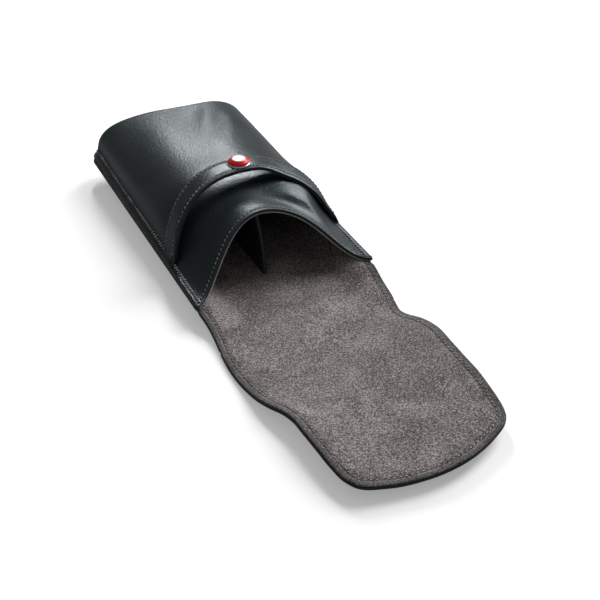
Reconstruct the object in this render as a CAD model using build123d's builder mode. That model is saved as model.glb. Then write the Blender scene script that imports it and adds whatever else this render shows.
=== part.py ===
"""Soft leather pen case: a moulded pouch with a divider, a sewn-on strap and a long two-fold flap.

The case lies on its back. X runs across it, +Y from the mouth to the closed end and Z up from the
table. The origin is the middle of the pouch's flat underside. Sizes are in millimetres.
"""
import os
from math import atan2, cos, degrees, pi, radians, sin

from build123d import *

os.makedirs("parts", exist_ok=True)

# Pouch outline, seen from above
case_width = 76.0
pouch_length = 133.0
outline_corner_radius = 7.0

# Sheets
back_leather = 1.3
shell_leather = 1.3
suede = 0.6
strap_leather = 1.2
strap_backing = 0.6
divider_thickness = 1.7

# Side seam: the layers are sewn together in a flange that climbs towards the closed end
seam_allowance = 4.2
mouth_seam_height = 7.0
end_seam_height = 11.0

# Back: a flat floor with soft walls that rise to the flange
wall_run = 12.0
wall_steps = 4
floor_corner_radius = 6.0

# How far the bodies that hollow out the back reach past its sewn edges
cut_margin = 2.0

# Moulded front, shape by shape from the mouth to the closed end:
# distance from the mouth, crown height, foot's distance from the side, squareness and fullness of its arch.
# front_steps says in how many straight steps the front runs from each shape to the next.
shoulder_radius = 4.0
shoulder_steps = 5
front_shapes = [
    (-4.0, 27.5, 0.0, 2.1, 2.0),
    (14.0, 29.4, 1.2, 2.1, 1.6),
    (34.0, 31.8, 3.6, 2.3, 0.62),
    (75.0, 31.4, 3.6, 2.9, 0.45),
    (pouch_length - seam_allowance - shoulder_radius, 28.7, 2.4, 3.6, 0.36),
]
front_steps = [2, 5, 4, 6]
arch_dip = 1.0

# Mouth: the front is cut back in a bow
mouth_setback = 22.0
mouth_squareness = 2.0
mouth_fullness = 1.2
lining_setback = 0.5

# Divider between the two bays, a little off the middle
divider_offset = -1.5
divider_foot_setback = 18.0
divider_top_setback = 27.0

# Strap over the pouch
strap_end_distance = 28.0
strap_bow = 12.0
strap_width = 10.2
strap_crown_height = 39.0
strap_foot_inset = 1.2
strap_leg_height = 3.0
strap_shoulder_turn = 50.0

# Ornamental stud riveted through the strap's middle
stud_diameter = 9.6
stud_base_height = 0.9
stud_bevel = 0.3
stud_ring_height = 1.5
stud_ring_diameter = 9.0
stud_ring_top_diameter = 6.6
stud_disc_diameter = 5.6
stud_disc_rise = 0.25
stud_seat_depth = 0.3
stud_post_diameter = 2.6
washer_diameter = 6.4
washer_thickness = 0.5

# Flap: distance from the mouth, how much wider than the pouch on each side, then the underside's
# height at the middle and at the edge
flap_sections = [
    (0.0, 0.0, 0.0, 5.1),
    (9.0, -0.8, 0.0, 1.8),
    (20.0, -0.7, 0.0, 0.3),
    (32.0, 0.7, 0.0, 0.3),
    (44.0, 1.1, 0.3, 1.2),
    (56.0, 0.8, 0.8, 3.1),
    (68.0, -1.3, 1.6, 5.4),
    (80.0, -3.0, 2.4, 6.2),
    (92.0, -3.8, 3.0, 5.6),
    (104.0, -5.0, 3.4, 4.6),
    (116.0, -6.0, 3.6, 4.0),
]
flap_length = 115.0
flap_tip_bulge = 14.5
flap_corner_radius = 12.0
neck_length = 38.0
fold_gap = 0.4

# Worked out from the sizes above
half_width = case_width / 2
mouth_y = -pouch_length / 2
end_y = pouch_length / 2
root_half_width = half_width - seam_allowance
floor_half_width = root_half_width - wall_run
back_stack = back_leather + suede
front_stack = shell_leather + suede
strap_stack = strap_leather + strap_backing
flange_stack = back_stack + shell_leather
stud_y = mouth_y + strap_end_distance + strap_bow + strap_width / 2
headroom = 2 * strap_crown_height


def seam_height(y):
    """Height of the plane where the front's flange lies on the back's, at y."""
    share = (y - mouth_y) / pouch_length
    return mouth_seam_height + share * (end_seam_height - mouth_seam_height)


def sloping_plane(share, lift):
    """Plane at a share of the height from the floor to the flange, both raised by lift."""
    low = share * (mouth_seam_height - back_stack) + lift
    high = share * (end_seam_height - back_stack) + lift
    tilt = degrees(atan2(high - low, pouch_length))
    return Plane(origin=(0, 0, (low + high) / 2)).rotated((tilt, 0, 0))


def cross_plane(y):
    """Upright plane across the case at y, whose sketches read X and Z."""
    return Plane.XZ.offset(-y)


def bow_points(half, height, squareness, fullness, base=0.0, count=13):
    """Points along a symmetric bow from -half to +half, closest together at its ends."""
    points = []
    for index in range(count):
        share = sin(pi * (index / (count - 1) - 0.5))
        rise = max(0.0, 1 - abs(share) ** squareness) ** fullness
        points.append((half * share, base + height * rise))
    return points


def pouch_outline(margin=0.0):
    """Upright block over the pouch's outline, widened by margin on its three sewn sides."""
    with BuildPart() as block:
        with BuildSketch() as outline:
            with Locations((0, margin / 2)):
                Rectangle(case_width + 2 * margin, pouch_length + margin)
            fillet(outline.vertices().group_by(Axis.Y)[-1], outline_corner_radius + margin)
        extrude(amount=headroom)
    return block.part


def flange_layer(lift, thickness):
    """Plate of one thickness over the whole outline, on the flange's slope and raised by lift."""
    with BuildPart() as layer:
        add(pouch_outline())
        split(bisect_by=sloping_plane(1.0, lift), keep=Keep.TOP)
        split(bisect_by=sloping_plane(1.0, lift + thickness), keep=Keep.BOTTOM)
    return layer.part


def tray(lift, margin=0.0):
    """Everything over the back's underside raised by lift, out to the outline widened by margin."""
    with BuildPart() as hollow:
        for step in range(wall_steps + 1):
            wall = step / wall_steps
            drawn_in = (1 - wall) * wall_run
            near = mouth_y - wall_run
            far = end_y - seam_allowance - drawn_in
            with BuildSketch(sloping_plane(wall * wall * (3 - 2 * wall), lift)) as level:
                with Locations((0, (near + far) / 2)):
                    Rectangle(2 * (root_half_width - drawn_in), far - near)
                fillet(level.vertices().group_by(Axis.Y)[-1], floor_corner_radius)
        loft(ruled=True)
        split(bisect_by=cross_plane(mouth_y), keep=Keep.BOTTOM)
    with BuildPart() as over_flange:
        add(pouch_outline(margin))
        split(bisect_by=sloping_plane(1.0, lift), keep=Keep.TOP)
    return hollow.part + over_flange.part


def front_sections():
    """The front's shapes and those between them, each with its distance from the mouth."""
    sections = []
    for before, after, steps in zip(front_shapes, front_shapes[1:], front_steps):
        for step in range(steps):
            share = step / steps
            sections.append([low + share * (high - low) for low, high in zip(before, after)])
    return sections + [front_shapes[-1]]


def arch_section(y, drawn_in, shape):
    """Face of the front's hollow at y, drawn in all round and carried down to the table."""
    crown, foot_inset, squareness, fullness = shape
    base = seam_height(y) - arch_dip
    half = half_width - foot_inset - drawn_in
    rise = crown - drawn_in - base
    with BuildSketch(cross_plane(y)) as section:
        with BuildLine():
            arch = Spline(*bow_points(half, rise, squareness, fullness, base))
            Polyline(arch @ 1, (half, 0), (-half, 0), arch @ 0)
        make_face()
    return section.sketch


def dome(inset):
    """The moulded hollow of the front, drawn in by inset and closed by a rounded end."""
    with BuildPart() as hollow:
        for distance, *shape in front_sections():
            add(arch_section(mouth_y + distance, inset, shape))
        loft(ruled=True)
        radius = shoulder_radius - inset
        for step in range(shoulder_steps + 1):
            turn = pi / 2 * step / shoulder_steps
            y = mouth_y + distance + radius * sin(turn)
            drawn_in = inset + radius * (1 - cos(turn))
            add(arch_section(y, drawn_in, shape))
        loft(ruled=True)
    return hollow.part


def mouth_cutter(setback):
    """Upright block in front of the bowed mouth, moved back by setback."""
    near = mouth_y + setback
    clear = mouth_y - pouch_length
    with BuildPart() as block:
        with BuildSketch():
            with BuildLine():
                lip = Spline(*bow_points(half_width, mouth_setback, mouth_squareness, mouth_fullness, near))
                Polyline(
                    lip @ 1, (case_width, near), (case_width, clear),
                    (-case_width, clear), (-case_width, near), lip @ 0,
                )
            make_face()
        extrude(amount=headroom)
    return block.part


def strap_plan():
    """Upright block over the strap, which bows towards the closed end."""
    near = mouth_y + strap_end_distance
    far = near + strap_width
    with BuildPart() as block:
        with BuildSketch():
            with BuildLine():
                front = ThreePointArc((-half_width, near), (0, near + strap_bow), (half_width, near))
                back = ThreePointArc((-half_width, far), (0, far + strap_bow), (half_width, far))
                Line(front @ 0, back @ 0)
                Line(front @ 1, back @ 1)
            make_face()
        extrude(amount=headroom)
    return block.part


def strap_arch(inset):
    """Long block whose top is the strap's outer face, drawn in by inset.

    Upright legs carry three tangent arcs, a shoulder at each side and a wider one over the crown.
    """
    turn = strap_shoulder_turn
    springing = mouth_seam_height + strap_leg_height
    half = half_width - strap_foot_inset - inset
    rise = strap_crown_height - springing - inset
    radius_gain = (half - rise) / (sin(radians(turn)) + cos(radians(turn)) - 1)
    centre_x = radius_gain * cos(radians(turn))
    side_radius = half - centre_x
    crown_radius = side_radius + radius_gain
    crown_centre_z = springing + rise - crown_radius
    with BuildPart() as block:
        with BuildSketch(cross_plane(mouth_y)):
            with BuildLine():
                right = CenterArc((centre_x, springing), side_radius, 0, turn)
                CenterArc((0, crown_centre_z), crown_radius, turn, 180 - 2 * turn)
                left = CenterArc((-centre_x, springing), side_radius, 180 - turn, turn)
                Polyline(left @ 1, (-half, 0), (half, 0), right @ 0)
            make_face()
        extrude(amount=-pouch_length)
    return block.part


def flap_sheet(lift, thickness, start, stop):
    """One layer of the flap, raised by lift, between two distances from the mouth."""
    tip_y = mouth_y - flap_length
    shoulder_y = tip_y + flap_tip_bulge
    edge_points = [(half_width + wider, mouth_y - distance) for distance, wider, _, _ in flap_sections]
    with BuildPart() as sheet:
        for distance, wider, middle, edge in flap_sections:
            rim = half_width + wider + seam_allowance
            with BuildSketch(cross_plane(mouth_y - distance)):
                with BuildLine():
                    for side in (lift, lift + thickness):
                        low = middle + side
                        high = edge + side
                        Polyline(
                            (-rim, high), (-root_half_width, high), (-floor_half_width, low),
                            (floor_half_width, low), (root_half_width, high), (rim, high),
                        )
                    for side in (-rim, rim):
                        Line((side, edge + lift), (side, edge + lift + thickness))
                make_face()
        loft(ruled=True)
        with BuildSketch() as outline:
            with BuildLine():
                right = Spline(*edge_points)
                left = Spline(*[(-x, y) for x, y in edge_points])
                Line(left @ 0, right @ 0)
                Line(left @ 1, right @ 1)
            make_face()
            with BuildLine():
                tip = ThreePointArc((-half_width, shoulder_y), (0, tip_y), (half_width, shoulder_y))
                Polyline(
                    tip @ 1, (case_width, shoulder_y), (case_width, end_y),
                    (-case_width, end_y), (-case_width, shoulder_y), tip @ 0,
                )
            make_face(mode=Mode.INTERSECT)
            fillet(outline.vertices().group_by(Axis.Y)[0], flap_corner_radius)
        extrude(amount=headroom, mode=Mode.INTERSECT)
        split(bisect_by=cross_plane(mouth_y - start), keep=Keep.TOP)
        split(bisect_by=cross_plane(mouth_y - stop), keep=Keep.BOTTOM)
    return sheet.part


def write(piece, name):
    """Label a finished piece and write it out."""
    piece.part.label = name
    export_step(piece.part, f"parts/{name}.step")


# Back of the pouch: smooth leather outside, suede inside
with BuildPart() as back_panel:
    add(tray(0.0))
    add(tray(back_leather, margin=cut_margin), mode=Mode.SUBTRACT)
write(back_panel, "back_panel")

with BuildPart() as back_lining:
    add(tray(back_leather))
    add(tray(back_stack, margin=cut_margin), mode=Mode.SUBTRACT)
write(back_lining, "back_lining")

# Moulded front: its flange lies on the back's lining and its mouth is cut back in a bow
with BuildPart() as front_shell:
    add(dome(0.0))
    split(bisect_by=sloping_plane(1.0, back_stack), keep=Keep.TOP)
    add(flange_layer(back_stack, shell_leather))
    add(dome(shell_leather), mode=Mode.SUBTRACT)
    add(mouth_cutter(0.0), mode=Mode.SUBTRACT)
write(front_shell, "front_shell")

with BuildPart() as shell_lining:
    add(dome(shell_leather))
    split(bisect_by=sloping_plane(1.0, back_stack), keep=Keep.TOP)
    add(dome(front_stack), mode=Mode.SUBTRACT)
    add(mouth_cutter(lining_setback), mode=Mode.SUBTRACT)
write(shell_lining, "shell_lining")

# Divider: an upright web from floor to crown, its cut front edge leaning back
with BuildPart() as divider:
    with BuildSketch(Plane.YZ.offset(divider_offset)):
        with BuildLine():
            crown = max(shape[1] for shape in front_shapes)
            foot_y = mouth_y + divider_foot_setback
            top_y = mouth_y + divider_top_setback
            Polyline((foot_y, 0), (top_y, crown), (end_y, crown), (end_y, 0), close=True)
        make_face()
    extrude(amount=divider_thickness / 2, both=True)
    add(dome(front_stack), mode=Mode.INTERSECT)
    add(tray(back_stack), mode=Mode.INTERSECT)
write(divider, "divider")

# Strap: an arch that stands off the pouch, its ends turned out flat on the flanges
stud_axis = Axis((0, stud_y, 0), (0, 0, 1))
stud_seat = strap_crown_height - stud_seat_depth
washer_top = strap_crown_height - strap_stack

with BuildPart() as strap:
    add(strap_arch(0.0))
    split(bisect_by=sloping_plane(1.0, flange_stack), keep=Keep.TOP)
    add(flange_layer(flange_stack, strap_leather))
    add(strap_arch(strap_leather), mode=Mode.SUBTRACT)
    add(strap_plan(), mode=Mode.INTERSECT)
    with BuildSketch(Plane((0, stud_y, stud_seat))):
        Circle(stud_diameter / 2)
    extrude(amount=headroom, mode=Mode.SUBTRACT)
    with BuildSketch(Plane((0, stud_y, washer_top))):
        Circle(stud_post_diameter / 2)
    extrude(amount=headroom, mode=Mode.SUBTRACT)
write(strap, "strap")

with BuildPart() as strap_lining:
    add(strap_arch(strap_leather))
    split(bisect_by=sloping_plane(1.0, flange_stack), keep=Keep.TOP)
    add(strap_arch(strap_stack), mode=Mode.SUBTRACT)
    add(strap_plan(), mode=Mode.INTERSECT)
    with BuildSketch(Plane((0, stud_y, washer_top))):
        Circle(washer_diameter / 2)
    extrude(amount=-washer_thickness, mode=Mode.SUBTRACT)
    with BuildSketch(Plane((0, stud_y, washer_top))):
        Circle(stud_post_diameter / 2)
    extrude(amount=headroom, mode=Mode.SUBTRACT)
write(strap_lining, "strap_lining")

# Stud: a base with a coloured ring and a plain disc set in it, held by a post and a washer
ring_z = stud_seat + stud_base_height
stud_top = ring_z + stud_ring_height
base_radius = stud_diameter / 2
ring_radius = stud_ring_diameter / 2
disc_radius = stud_disc_diameter / 2

with BuildPart() as stud_base:
    with BuildSketch(cross_plane(stud_y)):
        with BuildLine():
            Polyline(
                (0, stud_seat), (base_radius, stud_seat), (base_radius, ring_z - stud_bevel),
                (base_radius - stud_bevel, ring_z), (0, ring_z), close=True,
            )
        make_face()
    revolve(axis=stud_axis)
write(stud_base, "stud_base")

with BuildPart() as stud_ring:
    with BuildSketch(cross_plane(stud_y)):
        with BuildLine():
            top_edge = (stud_ring_top_diameter / 2, stud_top)
            Line((disc_radius, ring_z), (ring_radius, ring_z))
            Line((ring_radius, ring_z), top_edge)
            Line(top_edge, (disc_radius, stud_top))
            Line((disc_radius, stud_top), (disc_radius, ring_z))
        make_face()
    revolve(axis=stud_axis)
write(stud_ring, "stud_ring")

with BuildPart() as stud_disc:
    with BuildSketch(Plane((0, stud_y, ring_z))):
        Circle(disc_radius)
    extrude(amount=stud_ring_height + stud_disc_rise)
    chamfer(stud_disc.edges().group_by(Axis.Z)[-1], stud_disc_rise)
write(stud_disc, "stud_disc")

with BuildPart() as rivet_post:
    with BuildSketch(Plane((0, stud_y, washer_top - washer_thickness))):
        Circle(stud_post_diameter / 2)
    extrude(amount=stud_seat - washer_top + washer_thickness)
write(rivet_post, "rivet_post")

with BuildPart() as rivet_washer:
    with BuildSketch(Plane((0, stud_y, washer_top))):
        Circle(washer_diameter / 2)
        Circle(stud_post_diameter / 2, mode=Mode.SUBTRACT)
    extrude(amount=-washer_thickness)
write(rivet_washer, "rivet_washer")

# Flap: leather and suede, each in two lengths that meet at the fold over the mouth
neck_end = neck_length - fold_gap / 2
tongue_start = neck_length + fold_gap / 2

with BuildPart() as flap_neck:
    add(flap_sheet(0.0, back_leather, fold_gap, neck_end))
write(flap_neck, "flap_neck")

with BuildPart() as neck_lining:
    add(flap_sheet(back_leather, suede, fold_gap, neck_end))
write(neck_lining, "neck_lining")

with BuildPart() as flap_tongue:
    add(flap_sheet(0.0, back_leather, tongue_start, flap_length))
write(flap_tongue, "flap_tongue")

with BuildPart() as tongue_lining:
    add(flap_sheet(back_leather, suede, tongue_start, flap_length))
write(tongue_lining, "tongue_lining")
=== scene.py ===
from math import cos, pi, radians, sin

import bpy
import numpy as np
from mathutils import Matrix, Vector


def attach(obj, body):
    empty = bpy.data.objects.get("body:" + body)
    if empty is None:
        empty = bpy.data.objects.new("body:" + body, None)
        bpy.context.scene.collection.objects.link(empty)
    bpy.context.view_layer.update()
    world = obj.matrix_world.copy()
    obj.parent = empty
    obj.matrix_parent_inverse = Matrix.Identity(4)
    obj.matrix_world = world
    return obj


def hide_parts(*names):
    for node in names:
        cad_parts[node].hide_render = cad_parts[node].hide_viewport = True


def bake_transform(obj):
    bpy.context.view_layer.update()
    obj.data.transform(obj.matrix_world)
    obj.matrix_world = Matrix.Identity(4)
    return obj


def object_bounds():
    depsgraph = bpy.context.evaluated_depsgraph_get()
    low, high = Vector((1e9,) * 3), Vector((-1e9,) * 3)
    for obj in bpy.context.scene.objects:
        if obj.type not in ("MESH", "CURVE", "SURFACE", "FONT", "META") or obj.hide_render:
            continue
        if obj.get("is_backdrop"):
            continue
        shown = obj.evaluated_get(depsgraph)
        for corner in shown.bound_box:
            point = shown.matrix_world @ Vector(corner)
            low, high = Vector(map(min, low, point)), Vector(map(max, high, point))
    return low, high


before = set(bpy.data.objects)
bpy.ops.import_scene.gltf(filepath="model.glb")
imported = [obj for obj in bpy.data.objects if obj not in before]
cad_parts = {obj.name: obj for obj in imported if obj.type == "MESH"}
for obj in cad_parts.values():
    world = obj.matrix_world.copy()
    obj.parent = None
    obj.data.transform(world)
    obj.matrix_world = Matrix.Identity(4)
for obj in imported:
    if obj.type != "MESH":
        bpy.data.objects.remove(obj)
cad_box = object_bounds()

# The camera: the photograph's view, from in front of the mouth, a little to the left and 35 degrees up.
# Lengths are in millimetres, and in metres for the table, the lamps and the patterns of the materials.
MM = 0.001
view_turn, view_drop = radians(26.31), radians(34.98)
view_target = Vector((3.95, -69.72, 0.0)) * MM
view_distance = 436.3 * MM
looking = Vector((sin(view_turn) * cos(view_drop), cos(view_turn) * cos(view_drop), -sin(view_drop)))
lens = bpy.data.cameras.new("camera")
lens.lens, lens.sensor_width = 66.0, 36.0
lens.clip_start, lens.clip_end = 0.01, 20.0
camera = bpy.data.objects.new("camera", lens)
camera.location = view_target - looking * view_distance
camera.rotation_euler = looking.to_track_quat("-Z", "Y").to_euler()
bpy.context.scene.collection.objects.link(camera)
bpy.context.scene.camera = camera
bpy.context.scene.view_settings.view_transform = "Standard"


# The table and the light: a plain white table top under a white tent. A large soft box high on the right
# lays the shadow to the left, a small lamp behind the case makes the sheen along its front, and a low one
# lights its right side.
class Wire:
    """A socket of a node tree. Expressions on wires add Math nodes."""

    def __init__(self, graph, socket):
        self.graph, self.socket = graph, socket

    def maths(self, operation, first, second):
        return self.graph.node("ShaderNodeMath", {"operation": operation}, {0: first, 1: second})["Value"]

    def __add__(self, other):
        return self.maths("ADD", self, other)

    def __radd__(self, other):
        return self.maths("ADD", other, self)

    def __sub__(self, other):
        return self.maths("SUBTRACT", self, other)

    def __rsub__(self, other):
        return self.maths("SUBTRACT", other, self)

    def __mul__(self, other):
        return self.maths("MULTIPLY", self, other)

    def __rmul__(self, other):
        return self.maths("MULTIPLY", other, self)


class Graph:
    """The node tree of a material or of the world. node() makes every node but those of plain maths."""

    def __init__(self, owner):
        owner.use_nodes = True
        self.owner, self.tree = owner, owner.node_tree
        self.tree.nodes.clear()

    def node(self, kind, settings=None, sockets=None):
        made = self.tree.nodes.new(kind)
        for name, value in (settings or {}).items():
            if name == "stops":
                ramp = made.color_ramp
                while len(ramp.elements) < len(value):
                    ramp.elements.new(0.5)
                for element, (place, colour) in zip(ramp.elements, value):
                    element.position = place
                    element.color = (*colour, 1.0)
            else:
                setattr(made, name, value)
        for name, value in (sockets or {}).items():
            if isinstance(value, Wire):
                self.tree.links.new(value.socket, made.inputs[name])
            else:
                made.inputs[name].default_value = value
        found = {}
        for number, socket in enumerate(made.outputs):
            found[number] = Wire(self, socket)
            found.setdefault(socket.name, found[number])
        return found


def mixed(graph, share, first, second):
    """A colour that goes from the first to the second as the share goes from 0 to 1."""
    return graph.node("ShaderNodeMix", {"data_type": "RGBA"}, {0: share, 6: first, 7: second})[2]


plain_white = (1.0, 1.0, 1.0, 1.0)
table_paint, table_in_shine = (0.86, 0.86, 0.87, 1.0), (0.30, 0.30, 0.31, 1.0)
near_glow, far_glow, glow_grows_from, glow_grows_to = 0.30, 0.85, 0.45, 1.5
table = bpy.data.materials.new("white_table")
graph = Graph(table)
rays = graph.node("ShaderNodeLightPath")
top = mixed(graph, rays["Is Glossy Ray"], table_paint, table_in_shine)
matte = graph.node("ShaderNodeBsdfDiffuse", None, {"Color": top})["BSDF"]
table_place = graph.node("ShaderNodeTexCoord")["Object"]
far_away = graph.node("ShaderNodeVectorMath", {"operation": "LENGTH"}, {0: table_place})["Value"]
glow_level = graph.node("ShaderNodeMapRange", None, {
    "Value": far_away, "From Min": glow_grows_from, "From Max": glow_grows_to,
    "To Min": near_glow, "To Max": far_glow,
})["Result"]
camera_glow = rays["Is Camera Ray"] * glow_level
glow = graph.node("ShaderNodeEmission", None, {"Color": plain_white, "Strength": camera_glow})["Emission"]
both = graph.node("ShaderNodeAddShader", None, {0: matte, 1: glow})[0]
graph.node("ShaderNodeOutputMaterial", None, {"Surface": both})

table_half, table_height = 3.0, -0.0001
table_signs = ((-1, -1), (1, -1), (1, 1), (-1, 1))
table_corners = [(x * table_half, y * table_half, table_height) for x, y in table_signs]
table_mesh = bpy.data.meshes.new("table")
table_mesh.from_pydata(table_corners, [], [(0, 1, 2, 3)])
table_mesh.materials.append(table)
table_top = bpy.data.objects.new("table_top", table_mesh)
bpy.context.scene.collection.objects.link(table_top)
table_top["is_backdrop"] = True

tent = bpy.data.worlds.new("tent")
bpy.context.scene.world = tent
graph = Graph(tent)
rays = graph.node("ShaderNodeLightPath")
strength = 0.20 + 0.80 * rays["Is Camera Ray"]
sky = graph.node("ShaderNodeBackground", None, {"Color": plain_white, "Strength": strength})["Background"]
graph.node("ShaderNodeOutputWorld", None, {"Surface": sky})

lamps_aim_at = Vector((0, -0.04, 0))
for name, place, size, power in (
    ("lamp_behind", (0.18, 0.48, 0.42), (0.08, 0.20), 2.2),
    ("lamp_side", (0.75, 0.22, 0.32), (0.40, 0.30), 1.7),
    ("soft_box", (2.10, 0.75, 2.05), (1.5, 1.5), 66.0),
):
    lamp = bpy.data.lights.new(name, "AREA")
    lamp.shape, lamp.size, lamp.size_y, lamp.energy = "RECTANGLE", size[0], size[1], power
    lamp_object = bpy.data.objects.new(name, lamp)
    lamp_object.location = place
    lamp_object.rotation_euler = (lamps_aim_at - Vector(place)).to_track_quat("-Z", "Y").to_euler()
    bpy.context.scene.collection.objects.link(lamp_object)


# Back of the pouch: one sheet of smooth black calf that goes on as the flap. It is flat where it lies on
# the table, and the filling draws its sides up to the seam. Its edges are cut, rounded and painted.
case_width, mouth_y, end_y = 76.0, -66.5, 66.5
half_width = case_width / 2
corner_radius = 7.0
back_leather, suede_thickness, shell_leather = 1.3, 0.6, 1.3
back_stack = back_leather + suede_thickness
mouth_seam_height, end_seam_height = 7.0, 11.0
floor_half, root_half, wall_run = 21.8, 33.8, 12.0
seam_inset, groove_depth, groove_width = 1.5, 0.16, 0.65
edge_fullness = 0.45


def smooth(share):
    """A share that starts and ends gently, held between 0 and 1."""
    share = np.clip(share, 0.0, 1.0)
    return share * share * (3.0 - 2.0 * share)


def bell(value, centre, width):
    """1 at the centre, falling off smoothly on both sides."""
    return np.exp(-(((value - centre) / width) ** 2))


def seam_height(y):
    """Height at which the front's flange lies on the lined back."""
    return mouth_seam_height + (end_seam_height - mouth_seam_height) * (y - mouth_y) / (end_y - mouth_y)


def upward(points):
    """Unit normals of a grid of points, on the side that looks up."""
    normal = np.cross(np.gradient(points, axis=1), np.gradient(points, axis=0))
    normal /= np.maximum(np.linalg.norm(normal, axis=2, keepdims=True), 1e-9)
    return normal * (1.0 if normal[..., 2].mean() > 0 else -1.0)


def groove(rim, inset, depth=groove_depth):
    """How far a row of stitches at an inset from the edge has drawn the surface down."""
    return depth * bell(rim, inset, groove_width)


def sheet_mesh(name, top, bottom, material, butted, rim, crease=None):
    """A closed sheet between two grids of points, its edge rounded except on the butted sides.

    The material reads how far each grid point lies from the cut edge, rim, and how deep it lies in the
    crease of a row of stitches, where it paints shade.
    """
    rows, columns = top.shape[:2]
    count = rows * columns
    index = np.arange(count).reshape(rows, columns)
    border = [(0, c) for c in range(columns)] + [(r, columns - 1) for r in range(1, rows)]
    border += [(rows - 1, c) for c in range(columns - 2, -1, -1)] + [(r, 0) for r in range(rows - 2, 0, -1)]
    middle = (top + bottom) / 2
    thickness = np.linalg.norm(top - bottom, axis=2)
    vertices, edge_distance = [*top.reshape(-1, 3), *bottom.reshape(-1, 3)], [*rim.ravel(), *rim.ravel()]
    loops = [[int(index[place]) for place in border]]
    around = np.array([middle[place] for place in border])
    along = np.roll(around, -1, axis=0) - np.roll(around, 1, axis=0)
    across = np.array([top[place] - bottom[place] for place in border])
    inner = np.array([middle[min(max(r, 1), rows - 2), min(max(c, 1), columns - 2)] for r, c in border])
    away = np.cross(along, across)
    away /= np.maximum(np.linalg.norm(away, axis=1, keepdims=True), 1e-9)
    away *= np.where(np.einsum("ij,ij->i", away, around - inner) < 0, -1.0, 1.0)[:, None]
    flat_rows = [row for side, row in (("first", 0), ("last", rows - 1)) if side in butted]
    round_by = np.array([0.0 if r in flat_rows else thickness[r, c] * edge_fullness for r, c in border])
    for step in (1, 2, 3):
        turn = pi * step / 4
        loops.append(range(len(vertices), len(vertices) + len(border)))
        vertices += list(around + across / 2 * cos(turn) + away * round_by[:, None] * sin(turn))
        edge_distance += [0.0] * len(border)
    loops.append([int(index[place]) + count for place in border])
    a, b = index[:-1, :-1].ravel(), index[:-1, 1:].ravel()
    c, d = index[1:, 1:].ravel(), index[1:, :-1].ravel()
    faces = np.concatenate([np.stack([a, b, c, d], 1), np.stack([d, c, b, a], 1) + count]).tolist()
    for upper, lower in zip(loops, loops[1:]):
        faces += [(upper[k - 1], lower[k - 1], lower[k], upper[k]) for k in range(len(border))]
    mesh = bpy.data.meshes.new(name)
    mesh.from_pydata((np.array(vertices) * MM).tolist(), [], faces)
    deep = np.zeros(len(vertices), np.float32)
    if crease is not None:
        deep[:2 * count] = np.tile(crease.ravel(), 2)
    for reading, values in (("rim", np.array(edge_distance, np.float32)), ("crease", deep)):
        mesh.attributes.new(reading, "FLOAT", "POINT").data.foreach_set("value", values)
    return finished(name, mesh, material)


def finished(name, mesh, material):
    """The object of a closed mesh, its faces outwards and smooth, with its material."""
    corners = np.array([vertex.co for vertex in mesh.vertices])
    mesh.calc_loop_triangles()
    triangles = np.array([triangle.vertices for triangle in mesh.loop_triangles])
    a, b, c = corners[triangles[:, 0]], corners[triangles[:, 1]], corners[triangles[:, 2]]
    if np.einsum("ij,ij->i", a, np.cross(b, c)).sum() < 0:
        mesh.flip_normals()
    mesh.materials.append(material)
    mesh.shade_smooth()
    mesh.set_sharp_from_angle(angle=radians(50))
    made = bpy.data.objects.new(name, mesh)
    bpy.context.scene.collection.objects.link(made)
    return made


def declared(piece, face):
    """Work out the diagonals of a sheet's face laid flat, and return the piece unchanged."""
    a, b = face[1:, 1:] - face[:-1, :-1], face[1:, :-1] - face[:-1, 1:]
    return piece


def noise(graph, place, scale, detail, **more):
    """A cloudy pattern, as a number between 0 and 1."""
    sockets = {"Vector": place, "Scale": scale, "Detail": detail, **more}
    return graph.node("ShaderNodeTexNoise", None, sockets)["Fac"]


def edge_band(graph, start, end):
    """1 along the cut edge, fading to 0 between two distances from it."""
    rim = graph.node("ShaderNodeAttribute", {"attribute_name": "rim"})["Fac"]
    sockets = {"Value": rim, "From Min": start, "From Max": end, "To Min": 1.0, "To Max": 0.0}
    return graph.node("ShaderNodeMapRange", {"interpolation_type": "SMOOTHSTEP"}, sockets)["Result"]


def shades(graph, value, *stops):
    """The colour that a ramp has at a value."""
    return graph.node("ShaderNodeValToRGB", {"stops": stops}, {"Fac": value})["Color"]


def relief(graph, strength, distance, height):
    """Bumps that follow a pattern of heights, whose 1 stands for a distance in metres."""
    sockets = {"Strength": strength, "Distance": distance, "Height": height}
    return graph.node("ShaderNodeBump", None, sockets)["Normal"]


def surfaced(graph, sockets):
    """The material, once its surface has these sockets."""
    surface = graph.node("ShaderNodeBsdfPrincipled", None, sockets)["BSDF"]
    graph.node("ShaderNodeOutputMaterial", None, {"Surface": surface})
    return graph.owner


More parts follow.
